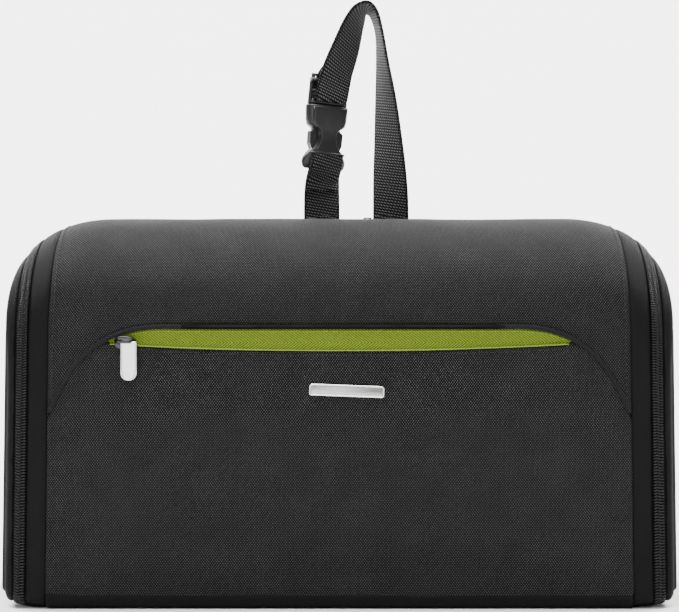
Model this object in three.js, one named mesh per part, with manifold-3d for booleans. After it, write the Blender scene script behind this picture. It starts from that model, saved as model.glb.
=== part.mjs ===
// Hanging toiletry bag: a soft tray with a zipped cover that folds down from its front bottom edge,
// a front pocket with its own zip, and a webbing hang strap with a side-release buckle.
// Millimetres. +Z is up, the front faces -Y, and the origin is the middle of the bottom face.

import * as THREE from 'three';
import { mergeVertices } from 'three/addons/utils/BufferGeometryUtils.js';
import Module from 'manifold-3d';

const wasm = await Module();
wasm.setup();

// ---- Driving dimensions ----
const WIDTH = 292;
const DEPTH = 89;
const CREST_Z = 171; // highest line of the body
const FRONT_RADIUS = 50; // round from the upright front into the top
const TOP_SLOPE = 0.18; // fall of the top from the crest to the back
const CORNER_RADIUS = 6; // small rounds at the bottom and at the top back edge
const WALL = 4.3; // padded panel with its fabric on both sides
const GAP = 0.3; // clearance between pieces that touch

const HALF_WIDTH = WIDTH / 2;
const FRONT_Y = -DEPTH / 2;
const BACK_Y = DEPTH / 2;
const ARC_Z = CREST_Z - FRONT_RADIUS;
const CREST_Y = FRONT_Y + FRONT_RADIUS;
const WALL_TOP = WALL + GAP; // upright panels start here, above the bottom panel

// Places across the width, measured from the middle
const SEAM_X = 127; // textured front panel to plain side band
const BAND_END_X = 136.3;
const COIL_WIDTH = 1.8;
const INNER_COIL_X = BAND_END_X + GAP;
const OUTER_COIL_X = INNER_COIL_X + COIL_WIDTH + GAP;
const END_PANEL_X = OUTER_COIL_X + COIL_WIDTH + GAP;
const END_LINING_X = 139.2;

// Places along the top, where the main zip crosses in front of the strap
const COVER_END_Y = 19.9;
const INNER_COIL_Y = COVER_END_Y + GAP;
const OUTER_COIL_Y = INNER_COIL_Y + COIL_WIDTH + GAP;
const TOP_PANEL_Y = OUTER_COIL_Y + COIL_WIDTH + GAP;
const ZIP_Y = OUTER_COIL_Y - GAP / 2;

// Layers of the cover, as depths below its outer face
const SKIN = [0.3, 1.7];
const SHELL = [2, 5];
const LINING = [5.3, 5.9];
const SIDE_BAND = [0.2, 4.6];
const COIL_DEPTH = [1, 3];

// Inside the tray
const CLOTH = 0.6; // thickness of the linings and the mesh
const BACK_LINING = { reach: 110, bottom: 6, top: 156 };
const END_LINING_MARGIN = 8;
const MESH_POCKET = { reach: 105, bottom: 8, top: 78, bandTop: 88, bandThickness: 1.2 };

// Soft shoulders: how far the ends draw in
const SHOULDER_X = 105; // the top starts to fall here
const SHOULDER_DROP = 27;
const SHOULDER_BASE_Z = 60; // below this height the sides stay straight
const END_DRAW_IN = 7; // front and back draw in beyond the seam
const END_LIFT = 5; // the bottom edge lifts at the ends
const TOP_TAPER = 0.015; // the top is this much narrower than the base

// Front pocket
const ARCH_FOOT_Z = 82;
const ARCH_TOP_Z = 121.8;
const ARCH_FLAT_X = 72;
const ARCH_BENDS = [[114, 108], [106, 123.5]]; // the curve's control points, from the foot up
const PIPING_RADIUS = 1.1;
const TAPE_TIP = { x: 101, z: 114 };
const TAPE_TOP_Z = 119.8;
const TAPE_BOTTOM_Z = 111.2;
const TAPE_DEPTH = [0.9, 1.7];
const POCKET_DEPTH = [0, 1.7];

// Hang strap and buckle
const STRAP_WIDTH = 17;
const STRAP_THICKNESS = 1.4;
const STRAP_Y = 45.6; // middle of the webbing, just behind the back panel
const STRAP_ROOT_Z = 166.3;
const LEFT_LEG_X = -8.5;
const RIGHT_LEG_X = 24.6;
const ANCHOR_LENGTH = 26;
const BUCKLE = {
  foot: [-8.1, STRAP_Y, 196],
  roll: THREE.MathUtils.degToRad(4),
  yaw: THREE.MathUtils.degToRad(27),
  width: 22,
  waist: 9.4,
  length: 30,
  thickness: 8.6,
  cavityWidth: 18,
  cavityThickness: 5.2,
  plugTop: 44,
};

// Materials
const material = (color, roughness, metalness = 0) =>
  new THREE.MeshStandardMaterial({ color, roughness, metalness });
const BALLISTIC_NYLON = material(0x38383a, 0.85);
const PLAIN_NYLON = material(0x2a2a2c, 0.8);
const LIME_LINING = material(0x98ad2c, 0.8);
const MESH_CLOTH = material(0x202022, 0.9);
const ZIP_COIL = material(0x161617, 0.5);
const WEBBING = material(0x1a1a1b, 0.8);
const BUCKLE_PLASTIC = material(0x222224, 0.35);
const SATIN_METAL = material(0xc9cbcd, 0.35, 1);
const DARK_METAL = material(0x4a4b4e, 0.35, 1);

const bag = new THREE.Group();

// ---- Helpers ----

function addMesh(name, geometry, meshMaterial, parent = bag) {
  const mesh = new THREE.Mesh(geometry, meshMaterial);
  mesh.name = name;
  parent.add(mesh);
  return mesh;
}

function solidOf(geometry) {
  const bare = geometry.clone();
  bare.deleteAttribute('normal');
  bare.deleteAttribute('uv');
  const merged = mergeVertices(bare, 1e-4);
  return new wasm.Manifold(
    new wasm.Mesh({
      numProp: 3,
      vertProperties: new Float32Array(merged.attributes.position.array),
      triVerts: new Uint32Array(merged.index.array),
    }),
  );
}

function geometryOf(solid) {
  const mesh = solid.getMesh();
  const geometry = new THREE.BufferGeometry();
  geometry.setAttribute('position', new THREE.BufferAttribute(mesh.vertProperties, 3));
  geometry.setIndex(new THREE.BufferAttribute(mesh.triVerts, 1));
  return geometry;
}

// Extrudes a shape drawn in (Y, Z) from one X to another.
function extrudeAlongX(shape, fromX, toX, steps = 1, curveSegments = 8) {
  const geometry = new THREE.ExtrudeGeometry(shape, {
    depth: toX - fromX,
    steps,
    curveSegments,
    bevelEnabled: false,
  });
  const axes = new THREE.Matrix4().makeBasis(
    new THREE.Vector3(0, 1, 0),
    new THREE.Vector3(0, 0, 1),
    new THREE.Vector3(1, 0, 0),
  );
  return geometry.applyMatrix4(axes).translate(fromX, 0, 0);
}

// Extrudes a shape drawn in (X, Z) back from the plane y = frontY.
function extrudeBack(shape, frontY, thickness, curveSegments = 12) {
  const geometry = new THREE.ExtrudeGeometry(shape, {
    depth: thickness,
    curveSegments,
    bevelEnabled: false,
  });
  return geometry.rotateX(Math.PI / 2).translate(0, frontY + thickness, 0);
}

function rectangle(x0, y0, x1, y1) {
  return new THREE.Shape([
    new THREE.Vector2(x0, y0),
    new THREE.Vector2(x1, y0),
    new THREE.Vector2(x1, y1),
    new THREE.Vector2(x0, y1),
  ]);
}

function topZ(y) {
  return CREST_Z - TOP_SLOPE * Math.max(0, y - CREST_Y);
}

// Draws the ends of the bag in, the way padded fabric does between its stiff seams.
function softenEnds(geometry) {
  const position = geometry.attributes.position;
  for (let i = 0; i < position.count; i += 1) {
    const x = position.getX(i);
    const y = position.getY(i);
    const z = position.getZ(i);
    const reach = THREE.MathUtils.clamp((Math.abs(x) - SHOULDER_X) / (HALF_WIDTH - SHOULDER_X), 0, 1);
    const end = THREE.MathUtils.clamp((Math.abs(x) - SEAM_X) / (HALF_WIDTH - SEAM_X), 0, 1);
    const drop = SHOULDER_DROP * (1 - Math.sqrt(1 - reach * reach));
    const draw = 1 - Math.sqrt(1 - end * end);
    const height = THREE.MathUtils.clamp((z - SHOULDER_BASE_Z) / (CREST_Z - SHOULDER_BASE_Z), 0, 1);
    const softZ = z - drop * height * height + END_LIFT * draw * (1 - z / CREST_Z);
    const softY = y * (1 - (END_DRAW_IN / BACK_Y) * draw);
    position.setXYZ(i, x * (1 - (TOP_TAPER * softZ) / CREST_Z), softY, softZ);
  }
  return geometry;
}

// The cover's wall between two depths, from just above the bottom panel, up the front and over the
// top to endY, as a shape in (Y, Z).
function wallShape([outer, inner], endY, startZ = WALL_TOP) {
  const shape = new THREE.Shape();
  shape.moveTo(FRONT_Y + outer, startZ);
  shape.lineTo(FRONT_Y + inner, startZ);
  shape.lineTo(FRONT_Y + inner, ARC_Z);
  shape.absarc(CREST_Y, ARC_Z, FRONT_RADIUS - inner, Math.PI, Math.PI / 2, true);
  shape.lineTo(endY, topZ(endY) - inner);
  shape.lineTo(endY, topZ(endY) - outer);
  shape.lineTo(CREST_Y, CREST_Z - outer);
  shape.absarc(CREST_Y, ARC_Z, FRONT_RADIUS - outer, Math.PI / 2, Math.PI, false);
  return shape;
}

// The whole D-shaped outline of the body, at a depth inside its outer face.
function bodyShape(depth) {
  const radius = Math.max(CORNER_RADIUS - depth, 1);
  const front = FRONT_Y + depth + radius;
  const back = BACK_Y - depth - radius;
  const low = depth + radius;
  const high = topZ(BACK_Y - CORNER_RADIUS) - depth - radius;
  const shape = new THREE.Shape();
  shape.moveTo(front, depth);
  shape.lineTo(back, depth);
  shape.absarc(back, low, radius, -Math.PI / 2, 0, false);
  shape.lineTo(back + radius, high);
  shape.absarc(back, high, radius, 0, Math.PI / 2, false);
  shape.lineTo(CREST_Y, CREST_Z - depth);
  shape.absarc(CREST_Y, ARC_Z, FRONT_RADIUS - depth, Math.PI / 2, Math.PI, false);
  shape.lineTo(front - radius, low);
  shape.absarc(front, low, radius, Math.PI, Math.PI * 1.5, false);
  return shape;
}

// Adds a left and a right piece that mirror each other, from one |x| to another.
function addSidePair(name, shape, fromX, toX, steps, meshMaterial) {
  addMesh(`right_${name}`, softenEnds(extrudeAlongX(shape, fromX, toX, steps)), meshMaterial);
  addMesh(`left_${name}`, softenEnds(extrudeAlongX(shape, -toX, -fromX, steps)), meshMaterial);
}

// ---- Tray: the part that hangs from the strap ----

function addTray() {
  const reach = END_PANEL_X - GAP;
  const steps = 44;
  const bottom = rectangle(FRONT_Y + 0.3, 0, BACK_Y - 0.3, WALL);
  addMesh('bottom_panel', softenEnds(extrudeAlongX(bottom, -reach, reach, steps)), PLAIN_NYLON);

  const backTop = topZ(BACK_Y) - 1;
  const back = rectangle(BACK_Y - WALL, WALL_TOP, BACK_Y, backTop);
  addMesh('back_panel', softenEnds(extrudeAlongX(back, -reach, reach, steps)), PLAIN_NYLON);

  const topBack = BACK_Y - WALL - GAP;
  const top = new THREE.Shape();
  top.moveTo(TOP_PANEL_Y, topZ(TOP_PANEL_Y) - WALL);
  top.lineTo(topBack, topZ(topBack) - WALL);
  top.lineTo(topBack, topZ(topBack));
  top.lineTo(TOP_PANEL_Y, topZ(TOP_PANEL_Y));
  addMesh('top_panel', softenEnds(extrudeAlongX(top, -reach, reach, steps)), PLAIN_NYLON);

  addSidePair('end_panel', bodyShape(0), END_PANEL_X, HALF_WIDTH, 4, PLAIN_NYLON);
}

function addTrayLining() {
  const liningY = BACK_Y - WALL - GAP;
  const back = rectangle(liningY - CLOTH, BACK_LINING.bottom, liningY, BACK_LINING.top);
  addMesh('back_lining', extrudeAlongX(back, -BACK_LINING.reach, BACK_LINING.reach), LIME_LINING);
  const bottom = rectangle(FRONT_Y + END_LINING_MARGIN, WALL_TOP, liningY - 1, WALL_TOP + CLOTH);
  addMesh('bottom_lining', extrudeAlongX(bottom, GAP - SEAM_X, SEAM_X - GAP), LIME_LINING);
  const end = bodyShape(END_LINING_MARGIN);
  addSidePair('end_lining', end, END_LINING_X, END_LINING_X + 0.8, 1, LIME_LINING);

  // A low mesh pocket on the back wall with an elastic band along its mouth.
  const pocketY = liningY - CLOTH - GAP;
  const { reach, bottom: low, top, bandTop, bandThickness } = MESH_POCKET;
  const mesh = rectangle(pocketY - CLOTH, low, pocketY, top);
  addMesh('mesh_pocket', extrudeAlongX(mesh, -reach, reach), MESH_CLOTH);
  const band = rectangle(pocketY - bandThickness, top + GAP, pocketY, bandTop);
  addMesh('mesh_pocket_elastic', extrudeAlongX(band, -reach, reach), PLAIN_NYLON);
}

// ---- Main zip: its outer half is on the tray, its inner half on the cover ----

function topCoilShape(fromY) {
  const toY = fromY + COIL_WIDTH;
  const shape = new THREE.Shape();
  shape.moveTo(fromY, topZ(fromY) - COIL_DEPTH[1]);
  shape.lineTo(toY, topZ(toY) - COIL_DEPTH[1]);
  shape.lineTo(toY, topZ(toY) - COIL_DEPTH[0]);
  shape.lineTo(fromY, topZ(fromY) - COIL_DEPTH[0]);
  return shape;
}

function addMainZip() {
  const steps = 24;
  const innerEnd = INNER_COIL_X + COIL_WIDTH;
  const outerEnd = OUTER_COIL_X + COIL_WIDTH;
  const innerSide = wallShape(COIL_DEPTH, INNER_COIL_Y + COIL_WIDTH);
  const outerSide = wallShape(COIL_DEPTH, OUTER_COIL_Y + COIL_WIDTH);
  addSidePair('inner_coil', innerSide, INNER_COIL_X, innerEnd, 1, ZIP_COIL);
  addSidePair('outer_coil', outerSide, OUTER_COIL_X, outerEnd, 1, ZIP_COIL);
  const innerTop = extrudeAlongX(topCoilShape(INNER_COIL_Y), -BAND_END_X, BAND_END_X, steps);
  addMesh('top_inner_coil', softenEnds(innerTop), ZIP_COIL);
  const outerTop = extrudeAlongX(topCoilShape(OUTER_COIL_Y), -innerEnd, innerEnd, steps);
  addMesh('top_outer_coil', softenEnds(outerTop), ZIP_COIL);
}

// The pull turns about the bar at its eye, which sits this far above the slider's plate.
const PULL_AXIS_LIFT = 0.8;
const PULL_BAR = 1.2;
const MAIN_SLIDER = { length: 8, width: 6, thickness: 1 };
const MAIN_PULL = { length: 19, width: 6, thickness: 0.7 };
const POCKET_SLIDER = { x: -91, z: 115.4, length: 10, width: 6, thickness: 1.2 };
const POCKET_PULL = { length: 16.8, width: 7.1, thickness: 0.9 };

// A slider plate that rides above the coils, with an arched bridge over the pull's bar at x = 0.
function sliderGeometry({ length, width, thickness }, bridgeTurn = 0) {
  const plate = new THREE.Shape();
  plate.moveTo(-length / 2, -width * 0.32);
  plate.lineTo(0, -width / 2);
  plate.lineTo(length / 2, -width / 2);
  plate.lineTo(length / 2, width / 2);
  plate.lineTo(0, width / 2);
  plate.lineTo(-length / 2, width * 0.32);
  const body = new THREE.ExtrudeGeometry(plate, { depth: thickness, bevelEnabled: false });
  const arch = rectangle(-1.8, -0.2, 1.8, PULL_AXIS_LIFT + 1.35);
  arch.holes.push(rectangle(-0.85, 0.02, 0.85, PULL_AXIS_LIFT + 0.8));
  const bridge = extrudeBack(arch, -PULL_BAR / 2, PULL_BAR).rotateZ(bridgeTurn).translate(0, 0, thickness);
  return geometryOf(solidOf(body).add(solidOf(bridge)));
}

// A flat pull tab in (X, Y) that reaches from the bar at its eye, on the Y axis, towards +X.
function pullGeometry({ length, width, thickness }) {
  const radius = width / 2;
  const tab = new THREE.Shape();
  tab.moveTo(-PULL_BAR / 2, -radius);
  tab.lineTo(length - radius, -radius);
  tab.absarc(length - radius, 0, radius, -Math.PI / 2, Math.PI / 2, false);
  tab.lineTo(-PULL_BAR / 2, radius);
  tab.holes.push(rectangle(PULL_BAR / 2, -1, PULL_BAR / 2 + 3, 1));
  const settings = { depth: thickness, bevelEnabled: false, curveSegments: 10 };
  return new THREE.ExtrudeGeometry(tab, settings).translate(0, 0, -thickness / 2);
}

const SLIDER_PARK_X = 13;
const SLIDER_LIFT = 1.8; // the cover's coil rises under the plate as the cover starts to open

function addMainSliders() {
  const plateZ = topZ(ZIP_Y) - COIL_DEPTH[0] + SLIDER_LIFT;
  for (const [side, turn] of [['left', Math.PI], ['right', 0]]) {
    const slider = new THREE.Group();
    slider.position.set(side === 'left' ? -SLIDER_PARK_X : SLIDER_PARK_X, ZIP_Y, plateZ);
    slider.rotation.z = turn;
    bag.add(slider);
    addMesh(`${side}_main_slider`, sliderGeometry(MAIN_SLIDER), DARK_METAL, slider);
    const pull = addMesh(`${side}_main_pull`, pullGeometry(MAIN_PULL), SATIN_METAL, slider);
    pull.position.set(0, 0, MAIN_SLIDER.thickness + PULL_AXIS_LIFT);
  }
}

// ---- Cover ----

// The arch that bounds the front pocket, from the left seam to the right one, in (X, Z).
function traceArch(path) {
  const [low, high] = ARCH_BENDS;
  path.bezierCurveTo(-low[0], low[1], -high[0], high[1], -ARCH_FLAT_X, ARCH_TOP_Z);
  path.lineTo(ARCH_FLAT_X, ARCH_TOP_Z);
  path.bezierCurveTo(high[0], high[1], low[0], low[1], SEAM_X, ARCH_FOOT_Z);
}

function archPrism(frontY, thickness) {
  const shape = new THREE.Shape();
  shape.moveTo(-SEAM_X, 0);
  shape.lineTo(-SEAM_X, ARCH_FOOT_Z);
  traceArch(shape);
  shape.lineTo(SEAM_X, 0);
  return solidOf(extrudeBack(shape, frontY, thickness));
}

// A round bar along the arch: the piping itself, or the groove that the panels leave for it.
function archBar(radius, footX, footZ) {
  const at = (x, z) => new THREE.Vector3(x, FRONT_Y + 0.2, z);
  const [low, high] = ARCH_BENDS;
  const flatLeft = at(-ARCH_FLAT_X, ARCH_TOP_Z);
  const flatRight = at(ARCH_FLAT_X, ARCH_TOP_Z);
  const path = new THREE.CurvePath();
  path.add(new THREE.CubicBezierCurve3(at(-footX, footZ), at(-low[0], low[1]), at(-high[0], high[1]), flatLeft));
  path.add(new THREE.LineCurve3(flatLeft, flatRight));
  path.add(new THREE.CubicBezierCurve3(flatRight, at(...high), at(...low), at(footX, footZ)));
  const section = new THREE.Shape().absarc(0, 0, radius, 0, Math.PI * 2, false);
  return new THREE.ExtrudeGeometry(section, {
    extrudePath: path,
    steps: 40,
    curveSegments: 4,
    bevelEnabled: false,
  });
}

// The exposed lime zip tape under the arch, in (X, Z).
function tapeShape(margin) {
  const { x, z } = TAPE_TIP;
  const shape = new THREE.Shape();
  shape.moveTo(-x - margin, z);
  shape.quadraticCurveTo(0, 2 * TAPE_BOTTOM_Z - z - 2 * margin, x + margin, z);
  shape.quadraticCurveTo(x * 0.9, TAPE_TOP_Z, x * 0.66, TAPE_TOP_Z + margin);
  shape.lineTo(-x * 0.66, TAPE_TOP_Z + margin);
  shape.quadraticCurveTo(-x * 0.9, TAPE_TOP_Z, -x - margin, z);
  return shape;
}

function addCover() {
  const reach = SEAM_X - GAP;
  const steps = 14;
  const wide = (layer, endY) => softenEnds(extrudeAlongX(wallShape(layer, endY), -reach, reach, steps));
  addMesh('cover_shell', wide(SHELL, COVER_END_Y), PLAIN_NYLON);
  const lining = extrudeAlongX(wallShape(LINING, COVER_END_Y), -SHOULDER_X, SHOULDER_X);
  addMesh('cover_lining', softenEnds(lining), LIME_LINING);
  addSidePair('side_band', wallShape(SIDE_BAND, COVER_END_Y), SEAM_X + GAP / 2, BAND_END_X, 3, PLAIN_NYLON);

  const groove = solidOf(archBar(PIPING_RADIUS + 2 * GAP, SEAM_X, ARCH_FOOT_Z));
  const pocketRegion = archPrism(FRONT_Y - 1, SKIN[1] + 2);
  const upper = solidOf(wide(SKIN, COVER_END_Y)).subtract(pocketRegion).subtract(groove);
  addMesh('upper_front_panel', geometryOf(upper), BALLISTIC_NYLON);

  const thickness = POCKET_DEPTH[1] - POCKET_DEPTH[0];
  const slab = rectangle(FRONT_Y - 1, WALL_TOP, FRONT_Y + thickness + 1, ARC_Z + 5);
  const sides = solidOf(softenEnds(extrudeAlongX(slab, -reach, reach, steps)));
  const mouth = solidOf(extrudeBack(tapeShape(GAP), FRONT_Y - 1, thickness + 2));
  const pocket = archPrism(FRONT_Y, thickness).intersect(sides).subtract(groove).subtract(mouth);
  addMesh('pocket_panel', geometryOf(largestPiece(pocket)), BALLISTIC_NYLON);

  const tape = extrudeBack(tapeShape(0), FRONT_Y + TAPE_DEPTH[0], TAPE_DEPTH[1] - TAPE_DEPTH[0]);
  addMesh('pocket_zip_tape', tape, LIME_LINING);
  addMesh('arch_piping', archBar(PIPING_RADIUS, SEAM_X - 2.2, ARCH_FOOT_Z + 4.5), PLAIN_NYLON);
}

// Cutting the pocket's mouth leaves slivers above it, between the tape and the piping.
function largestPiece(solid) {
  const pieces = solid.decompose();
  return pieces.reduce((best, piece) => (piece.volume() > best.volume() ? piece : best));
}

function addBadge() {
  const length = 32.5;
  const radius = 2.6;
  const shape = new THREE.Shape();
  shape.moveTo(-length / 2 + radius, -radius);
  shape.lineTo(length / 2 - radius, -radius);
  shape.absarc(length / 2 - radius, 0, radius, -Math.PI / 2, Math.PI / 2, false);
  shape.lineTo(-length / 2 + radius, radius);
  shape.absarc(-length / 2 + radius, 0, radius, Math.PI / 2, Math.PI * 1.5, false);
  const badge = addMesh('badge_plate', extrudeBack(shape, -1.2 - GAP, 1.2, 8), SATIN_METAL);
  badge.position.set(3.1, FRONT_Y, 94.2);
  badge.rotation.y = THREE.MathUtils.degToRad(2.2);
}

function addPocketSlider() {
  const slider = new THREE.Group();
  slider.position.set(POCKET_SLIDER.x, FRONT_Y - GAP, POCKET_SLIDER.z);
  slider.rotation.x = Math.PI / 2;
  bag.add(slider);
  addMesh('pocket_slider', sliderGeometry(POCKET_SLIDER, -Math.PI / 2), DARK_METAL, slider);
  const pull = addMesh('pocket_pull', pullGeometry(POCKET_PULL), SATIN_METAL, slider);
  pull.position.set(0, 0, POCKET_SLIDER.thickness + PULL_AXIS_LIFT);
  pull.rotation.z = -Math.PI / 2; // it hangs down
}

// ---- Hang strap ----

// A flat ribbon along stations of [x, z, facing]: facing is the turn of the webbing's width, in
// degrees, from across the bag (0) to straight back (90). It runs between two shares of the route.
function ribbonGeometry(stations, steps, start = 0, end = 1) {
  const route = new THREE.CatmullRomCurve3(stations.map(([x, z]) => new THREE.Vector3(x, STRAP_Y, z)));
  const facing = new THREE.CatmullRomCurve3(stations.map(([, , turn]) => new THREE.Vector3(turn, 0, 0)));
  const half = STRAP_WIDTH / 2;
  const thick = STRAP_THICKNESS / 2;
  const positions = [];
  for (let i = 0; i <= steps; i += 1) {
    const share = THREE.MathUtils.lerp(start, end, i / steps);
    const place = route.getPoint(share);
    const along = route.getTangent(share);
    const turn = THREE.MathUtils.degToRad(facing.getPoint(share).x);
    const level = new THREE.Vector3(along.z, 0, -along.x);
    const across = level.multiplyScalar(Math.cos(turn)).add(new THREE.Vector3(0, Math.sin(turn), 0));
    const normal = new THREE.Vector3().crossVectors(along, across).normalize();
    for (const [u, v] of [[-half, -thick], [half, -thick], [half, thick], [-half, thick]]) {
      positions.push(place.clone().addScaledVector(across, u).addScaledVector(normal, v));
    }
  }
  const faces = [];
  for (let i = 0; i < steps; i += 1) {
    for (let side = 0; side < 4; side += 1) {
      const a = i * 4 + side;
      const b = i * 4 + ((side + 1) % 4);
      faces.push(a, b, b + 4, a, b + 4, a + 4);
    }
  }
  const last = steps * 4;
  faces.push(0, 2, 1, 0, 3, 2, last, last + 1, last + 2, last, last + 2, last + 3);
  const geometry = new THREE.BufferGeometry().setFromPoints(positions);
  geometry.setIndex(faces);
  return geometry;
}

const LOWER_STRAP = [
  [LEFT_LEG_X, STRAP_ROOT_Z + 0.5, 0],
  [-8.5, 176, 3],
  [-8.4, 186, 14],
  [-8.1, 194.8, 27],
];
const HANG_LOOP = [
  [-4.4, 236.5, 27],
  [-0.9, 243, 32],
  [3, 254, 42],
  [6.6, 265, 56],
  [9.6, 271.4, 68],
  [13.2, 273.6, 78],
  [16.6, 270.4, 81],
  [19.1, 261, 81],
  [20.6, 246, 72],
  [22.2, 228, 56],
  [23.5, 207, 38],
  [24.4, 186, 15],
  [RIGHT_LEG_X, STRAP_ROOT_Z + 0.5, 0],
];
const LOOP_START = 0.1; // the route's first share lies inside the plug's two slots
const LOOP_SPLIT = [0.385, 0.45]; // where the plug's webbing ends and the right leg starts

function addStrap() {
  addMesh('lower_strap', ribbonGeometry(LOWER_STRAP, 6), WEBBING);
  addMesh('upper_strap', ribbonGeometry(HANG_LOOP, 14, LOOP_START, LOOP_SPLIT[0]), WEBBING);
  addMesh('right_strap', ribbonGeometry(HANG_LOOP, 26, LOOP_SPLIT[1], 1), WEBBING);
  for (const [side, x] of [['left', LEFT_LEG_X], ['right', RIGHT_LEG_X]]) {
    const anchor = new THREE.BoxGeometry(STRAP_WIDTH, 1.2, ANCHOR_LENGTH);
    anchor.translate(x, BACK_Y + GAP + 0.6, STRAP_ROOT_Z - GAP - ANCHOR_LENGTH / 2 - 3);
    addMesh(`${side}_strap_anchor`, anchor, WEBBING);
  }
}

// ---- Side-release buckle, drawn flat in (X, Z) with its foot at the origin ----

function socketGeometry() {
  const half = BUCKLE.width / 2;
  const waist = BUCKLE.waist / 2;
  const outline = new THREE.Shape();
  outline.moveTo(-half + 1, 0);
  outline.lineTo(half - 1, 0);
  outline.lineTo(half, 2);
  outline.bezierCurveTo(half, 8, waist, 9, waist, 13);
  outline.bezierCurveTo(waist, 17, half, 16, half, 19);
  outline.lineTo(half, BUCKLE.length - 1);
  outline.lineTo(half - 1, BUCKLE.length);
  outline.lineTo(-half + 1, BUCKLE.length);
  outline.lineTo(-half, BUCKLE.length - 1);
  outline.lineTo(-half, 19);
  outline.bezierCurveTo(-half, 16, -waist, 17, -waist, 13);
  outline.bezierCurveTo(-waist, 9, -half, 8, -half, 2);
  const body = solidOf(extrudeBack(outline, -BUCKLE.thickness / 2, BUCKLE.thickness));
  const floor = 5;
  const height = BUCKLE.length - floor + 5;
  const cavity = new THREE.BoxGeometry(BUCKLE.cavityWidth, BUCKLE.cavityThickness, height);
  cavity.translate(0, 0, floor + height / 2);
  return geometryOf(body.subtract(solidOf(cavity)));
}

function plugGeometry() {
  const half = BUCKLE.width / 2;
  const base = BUCKLE.length + GAP;
  const thickness = 4;
  const frame = new THREE.Shape();
  frame.moveTo(-1.6, 9);
  frame.lineTo(1.6, 9);
  frame.lineTo(1.6, base);
  frame.lineTo(half, base);
  frame.lineTo(half - 1, BUCKLE.plugTop);
  frame.lineTo(-half + 1, BUCKLE.plugTop);
  frame.lineTo(-half, base);
  frame.lineTo(-1.6, base);
  for (const low of [base + 3, base + 8]) {
    frame.holes.push(rectangle(-STRAP_WIDTH / 2 - 0.3, low, STRAP_WIDTH / 2 + 0.3, low + 3));
  }
  return extrudeBack(frame, -thickness / 2, thickness);
}

function prongGeometry(side) {
  const outline = new THREE.Shape();
  outline.moveTo(side * 4.3, 29.6);
  outline.lineTo(side * 4.3, 12);
  outline.lineTo(side * 5.2, 8.4);
  outline.quadraticCurveTo(side * 7, 7.6, side * 8.5, 12);
  outline.lineTo(side * 8.6, 17.5);
  outline.lineTo(side * 7, 18.6);
  outline.lineTo(side * 6.9, 29.6);
  return extrudeBack(outline, -1.8, 3.6);
}

function addBuckle() {
  const buckle = new THREE.Group();
  buckle.position.set(...BUCKLE.foot);
  buckle.rotation.set(0, BUCKLE.roll, BUCKLE.yaw, 'YXZ');
  bag.add(buckle);
  addMesh('buckle_socket', socketGeometry(), BUCKLE_PLASTIC, buckle);
  addMesh('buckle_plug', plugGeometry(), BUCKLE_PLASTIC, buckle);
  addMesh('left_prong', prongGeometry(-1), BUCKLE_PLASTIC, buckle);
  addMesh('right_prong', prongGeometry(1), BUCKLE_PLASTIC, buckle);
}

addTray();
addTrayLining();
addMainZip();
addMainSliders();
addCover();
addBadge();
addPocketSlider();
addStrap();
addBuckle();

export default bag;
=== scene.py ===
"""A hanging toiletry bag: soft goods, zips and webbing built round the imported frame.

Lengths in this file are millimetres until make_mesh turns them into metres. The fabric pieces are
drawn on the bag's own face: x across the bag, s up the front and over the top (s is the height on
the flat front), and depth below the face.
"""
import math

import bmesh
import bpy
from mathutils import Matrix, Vector, noise


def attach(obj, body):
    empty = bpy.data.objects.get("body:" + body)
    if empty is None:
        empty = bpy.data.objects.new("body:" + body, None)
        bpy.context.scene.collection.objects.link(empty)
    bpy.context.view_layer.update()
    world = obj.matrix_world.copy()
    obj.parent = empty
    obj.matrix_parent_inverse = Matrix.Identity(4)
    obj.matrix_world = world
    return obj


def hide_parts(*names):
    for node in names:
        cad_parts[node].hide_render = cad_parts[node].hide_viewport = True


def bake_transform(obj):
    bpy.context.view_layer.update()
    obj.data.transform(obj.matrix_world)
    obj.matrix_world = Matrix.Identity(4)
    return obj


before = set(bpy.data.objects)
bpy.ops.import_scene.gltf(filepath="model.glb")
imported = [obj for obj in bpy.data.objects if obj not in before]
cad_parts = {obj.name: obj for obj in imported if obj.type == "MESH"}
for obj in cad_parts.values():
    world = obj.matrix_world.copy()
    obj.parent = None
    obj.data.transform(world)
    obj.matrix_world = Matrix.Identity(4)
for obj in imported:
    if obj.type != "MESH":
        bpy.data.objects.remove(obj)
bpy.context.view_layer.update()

MM = 0.001

# ---- The bag's driving dimensions, as the frame was designed ----
HALF_WIDTH = 146.0
FRONT_Y, BACK_Y = -44.5, 44.5
CREST_Z = 171.0
FRONT_RADIUS = 50.0
TOP_SLOPE = 0.18
ARC_Z = CREST_Z - FRONT_RADIUS
CREST_Y = FRONT_Y + FRONT_RADIUS
ARC_LENGTH = FRONT_RADIUS * math.pi / 2
WALL_TOP = 4.6
BOTTOM_ROLL = 5.0  # the cover curls under the front edge
COVER_FOOT = 0.8
SEAM_X = 127.0  # from here out the cover is the plain side band
BAND_END_X = 135.9
CHAIN_X = 138.55  # the zip's middle, up the sides
CHAIN_Y = 22.15  # and over the top
COVER_END_Y = 19.9
SHOULDER_X, SHOULDER_DROP, SHOULDER_BASE_Z = 105.0, 27.0, 60.0
END_DRAW_IN, END_LIFT, TOP_TAPER = 7.0, 5.0, 0.015

S_CREST = ARC_Z + ARC_LENGTH
S_COVER_END = S_CREST + COVER_END_Y - CREST_Y
S_CHAIN = S_CREST + CHAIN_Y - CREST_Y
CHAIN_CORNER = 10.5

ARCH_FOOT_Z, ARCH_TOP_Z, ARCH_FLAT_X = 82.0, 121.8, 72.0
TAPE_TIP_X, TAPE_TIP_Z = 101.0, 114.0
MOUTH_Z = 111.2
PIPING_RADIUS = 1.15

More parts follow.
